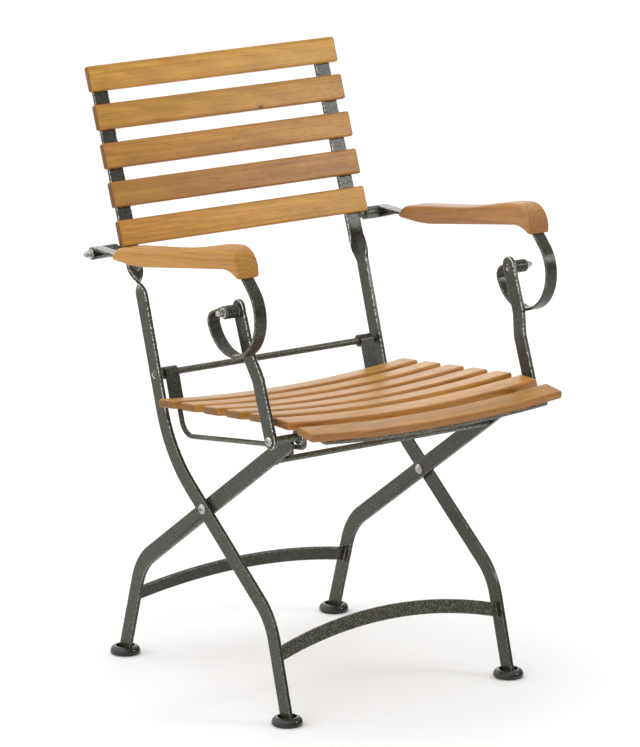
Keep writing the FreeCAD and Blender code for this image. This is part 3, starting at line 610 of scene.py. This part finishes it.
def stretcher_welds(x, middle, lean, draw):
    """Beads down both sides of a stretcher's end, where it meets the leg's inner face."""
    up = Vector((0.0, math.sin(lean), math.cos(lean)))
    across = Vector((0.0, math.cos(lean), -math.sin(lean)))
    groups = []
    for side in (-1, 1):
        start = middle + Vector((x, 0, 0)) + across * (side * stretcher_bead_out)
        path = []
        for step in range(2 * stretcher_bead_steps + 1):
            path.append(start + up * (stretcher_bead_half * (step / stretcher_bead_steps - 1)))
        groups.append(bead(path, False, Vector((1, 0, 0)), stretcher_bead, draw))
    return groups


def ring_weld(x, middle, radius, draw):
    """Bead around a round bar that ends on a face across X."""
    path = []
    for step in range(ring_bead_steps):
        turn = 2 * math.pi * step / ring_bead_steps
        path.append(middle + Vector((x, 0, 0)) + Vector((0.0, math.cos(turn), math.sin(turn))) * radius)
    return bead(path, True, Vector((1, 0, 0)), ring_bead, draw)


draw = random.Random(7)
post_welds = []
leg_welds = []
for side in (-1, 1):
    post_welds += stretcher_welds(side * front_end, front_middle, front_lean, draw)
    post_welds.append(ring_weld(side * boss_end, boss_middle, boss_radius, draw))
    leg_welds += stretcher_welds(side * rear_end, rear_middle, rear_lean, draw)
    leg_welds.append(ring_weld(side * cross_end, cross_middle, cross_radius, draw))
add_piece("post_welds", *gather(post_welds), weld_paint, "back_frame", "frame_steel")
add_piece("leg_welds", *gather(leg_welds), weld_paint, "rear_legs", "frame_steel")


# Screws with cross recesses and bolts with hexagon sockets, in the places of the plain ones
def islands(mesh):
    """Arrays of the points of each joined group of a mesh's faces."""
    lead = {}

    def first(key):
        while lead[key] != key:
            lead[key] = lead[lead[key]]
            key = lead[key]
        return key

    keys = [tuple(round(value, 6) for value in vertex.co) for vertex in mesh.vertices]
    for key in keys:
        lead[key] = key
    for edge in mesh.edges:
        lead[first(keys[edge.vertices[0]])] = first(keys[edge.vertices[1]])
    groups = {}
    for key in sorted(lead):
        groups.setdefault(first(key), []).append(key)
    return [numpy.array(group) for group in groups.values()]


def screw_stance(points):
    """Place under a screw's head, its outward direction and its length under the head."""
    middle = points.mean(axis=0)
    axis = numpy.linalg.svd(points - middle, full_matrices=False)[2][0]
    along = (points - middle) @ axis
    out = numpy.linalg.norm(points - middle - numpy.outer(along, axis), axis=1)
    if along[out.argmax()] < 0:
        axis = -axis
        along = -along
    seat = middle + axis * (along.max() - head_height)
    return Vector(seat), Vector(axis), along.max() - along.min() - head_height


def recess(x, y):
    """Depth of the cross at a place on the head."""
    def wall(value, limit):
        return min(max((limit + recess_wall - value) / recess_wall, 0.0), 1.0)

    arms = max(min(wall(abs(x), recess_half), wall(abs(y), recess_reach)),
               min(wall(abs(y), recess_half), wall(abs(x), recess_reach)))
    return recess_depth * arms


def circle(radius, level):
    """Ring of points about the Z axis."""
    turns = [2 * math.pi * step / turned_sides for step in range(turned_sides)]
    return [(radius * math.cos(turn), radius * math.sin(turn), level) for turn in turns]


def hexagon(half, level):
    """Ring of points on a hexagon that is twice a half wide across its flats."""
    ring = []
    for step in range(turned_sides):
        turn = 2 * math.pi * step / turned_sides
        radius = half / math.cos(turn % (math.pi / 3) - math.pi / 6)
        ring.append((radius * math.cos(turn), radius * math.sin(turn), level))
    return ring


def turned_solid(rings, seat, axis, turn):
    """Points and faces of a solid through rings about the Z axis, set on a seat and looking along an axis."""
    stance = axis.to_track_quat("Z", "Y").to_matrix() @ Matrix.Rotation(turn, 3, "Z")
    points = [seat + stance @ Vector(point) for ring in rings for point in ring]
    faces = [tuple(range(turned_sides))[::-1]]
    for ring in range(len(rings) - 1):
        low = ring * turned_sides
        high = low + turned_sides
        for step in range(turned_sides):
            side = (step + 1) % turned_sides
            faces.append((low + step, low + side, high + side, high + step))
    last = (len(rings) - 1) * turned_sides
    faces.append(tuple(range(last, last + turned_sides)))
    return points, faces


def sideways(side, seat, place):
    """Seat and direction of a fastener that looks outward along X."""
    return Vector((side * seat, *place)), Vector((side, 0, 0))


def screw(points, turn):
    """Points and faces of one screw with a cross recess."""
    seat, axis, length = screw_stance(points)
    rings = [circle(shank_radius, -length), circle(shank_radius, 0.0), circle(head_radius, 0.0)]
    for step in range(1, head_rings):
        share = 1 - step / head_rings
        top = head_height * (1 - share ** 3) ** 0.6
        rings.append([(x, y, top - recess(x, y)) for x, y, _ in circle(head_radius * share, 0.0)])
    return turned_solid(rings, seat, axis, turn)


def dome(radius, rise, out):
    """Height of a domed head's round top at a distance out from its middle."""
    ball = (radius ** 2 + rise ** 2) / (2 * rise)
    return math.sqrt(ball ** 2 - out ** 2) - ball + rise


def socket_head(radius, rim, rise, socket):
    """Rings of a domed head with a hexagon socket half a socket wide, from its seat to the socket's floor."""
    rings = [circle(radius, 0.0), circle(radius, rim)]
    for share in dome_shares:
        rings.append(circle(radius * share, rim + dome(radius, rise, radius * share)))
    mouth = rim + dome(radius, rise, socket)
    rings.append(hexagon(socket * socket_mouth_share, mouth))
    rings.append(hexagon(socket, mouth - socket_lip))
    rings.append(hexagon(socket * socket_floor_share, mouth - socket_depth))
    return rings


def pivot_bolt(side, turn):
    """Leg pivot: a socket head outside, a plain shank and a domed cap inside."""
    rim = -pivot_grip - pivot_rim
    rings = [circle(out, rim - dome(pivot_head, pivot_rise, out)) for out in pivot_cap_radii]
    rings += [circle(pivot_head, rim), circle(pivot_head, -pivot_grip)]
    rings += [circle(pivot_shank, -pivot_grip), circle(pivot_shank, 0.0)]
    rings += socket_head(pivot_head, pivot_rim, pivot_rise, pivot_socket)
    return turned_solid(rings, *sideways(side, pivot_seat, pivot_place), turn)


def bracket_bolt(side, turn):
    """Head of the bolt that holds an arm post on the seat's bracket."""
    rings = socket_head(bracket_head, bracket_rim, bracket_rise, bracket_socket)
    return turned_solid(rings, *sideways(side, bracket_seat, bracket_place), turn)


def cap_nut(side, place, turn):
    """Washer, hexagon and round cap on the outer end of an arm's pin."""
    rings = [circle(washer_radius, 0.0), circle(washer_radius, washer_rim)]
    rings.append(circle(washer_top_radius, washer_height))
    rings += [hexagon(nut_half, washer_height), hexagon(nut_half, nut_top)]
    for step in range(nut_cap_steps):
        tilt = math.radians(nut_cap_tilt * step)
        rings.append(circle(nut_cap_radius * math.cos(tilt), nut_cap_base + nut_cap_rise * math.sin(tilt)))
    return turned_solid(rings, *sideways(side, nut_seat, place), turn)


def put_turned(prefix, name, body, solids):
    """One piece of turned solids in the place of a node."""
    piece = add_piece(prefix + name, *gather(solids), bright, body, "zinc_steel")
    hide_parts(name)


put_turned("socket_", "leg_pivot_bolts", "back_frame", [pivot_bolt(-1, 0.4), pivot_bolt(1, 1.3)])
put_turned("socket_", "post_bolts", "seat", [bracket_bolt(-1, 0.2), bracket_bolt(1, 0.9)])
put_turned("cap_", "arm_pivot_bolts", "back_frame", [cap_nut(-1, arm_pivot, 0.3), cap_nut(1, arm_pivot, 0.7)])
put_turned("cap_", "scroll_bolt_left", "arm_support_left", [cap_nut(1, scroll_pivot, 0.5)])
put_turned("cap_", "scroll_bolt_right", "arm_support_right", [cap_nut(-1, scroll_pivot, 0.1)])

screw_bodies = {"back_slat_screws": "back_frame", "seat_screws": "seat", "arm_screws_left": "arm_left",
                "arm_screws_right": "arm_right"}
for name, body in screw_bodies.items():
    screws = [screw(points, draw.uniform(0.0, math.pi)) for points in islands(nodes[name].data)]
    put_turned("cross_", name, body, screws)


# Stage, light and camera
def plane(name, size, material):
    mesh = bpy.data.meshes.new(name)
    half = size / 2
    corners = [(-half, -half, 0), (half, -half, 0), (half, half, 0), (-half, half, 0)]
    mesh.from_pydata(corners, [], [(0, 1, 2, 3)])
    mesh.materials.append(material)
    made = bpy.data.objects.new(name, mesh)
    bpy.context.scene.collection.objects.link(made)
    return made


pale_floor = material_graph("pale_floor").finish(Base_Color=rgb(0.9, 0.9, 0.9), Roughness=0.9)
plane("floor", floor_size, pale_floor)

world = bpy.data.worlds.new("studio")
bpy.context.scene.world = world
sky = Graph(world, "Background")
direction = sky.parts(sky.node("ShaderNodeTexCoord", {}).outputs["Generated"])
glow = sky.math("MULTIPLY_ADD", sky.math("MAXIMUM", direction[2], 0.0), sky_overhead, sky_low)
glow = sky.math("MULTIPLY_ADD", direction[0], -sky_left, glow)
glow = sky.math("MULTIPLY_ADD", direction[1], sky_behind, glow)
sky.finish(Color=rgb(1.0, 1.0, 1.0), Strength=sky.math("MAXIMUM", glow, sky_least))


def soft_light(name, place, aim, size, power):
    data = bpy.data.lights.new(name, "AREA")
    data.shape = "RECTANGLE"
    data.size, data.size_y = size
    data.energy = power
    made = bpy.data.objects.new(name, data)
    bpy.context.scene.collection.objects.link(made)
    made.location = place
    made.rotation_euler = (Vector(aim) - Vector(place)).to_track_quat("-Z", "Y").to_euler()


soft_light("key", place=(2.05, -1.9, 1.72), aim=(0.1, 0, 0.6), size=(0.6, 0.6), power=14)
soft_light("back", place=(2.0, 2.9, 1.25), aim=(0, -0.1, 0.45), size=(1.6, 0.7), power=6)

view = bpy.context.scene.view_settings
view.view_transform = "Standard"
view.look = "None"

camera = bpy.data.objects.new("camera", bpy.data.cameras.new("camera"))
bpy.context.scene.collection.objects.link(camera)
camera.data.sensor_width = sensor
camera.data.lens = focal_pixels * sensor / image_height
camera.data.clip_end = 100
turn = math.radians(camera_azimuth)
tip = math.radians(camera_elevation)
back = Vector((-math.sin(turn) * math.cos(tip), -math.cos(turn) * math.cos(tip), math.sin(tip)))
camera.location = camera_aim + back * camera_distance
camera.rotation_euler = (-back).to_track_quat("-Z", "Y").to_euler()
bpy.context.scene.camera = camera
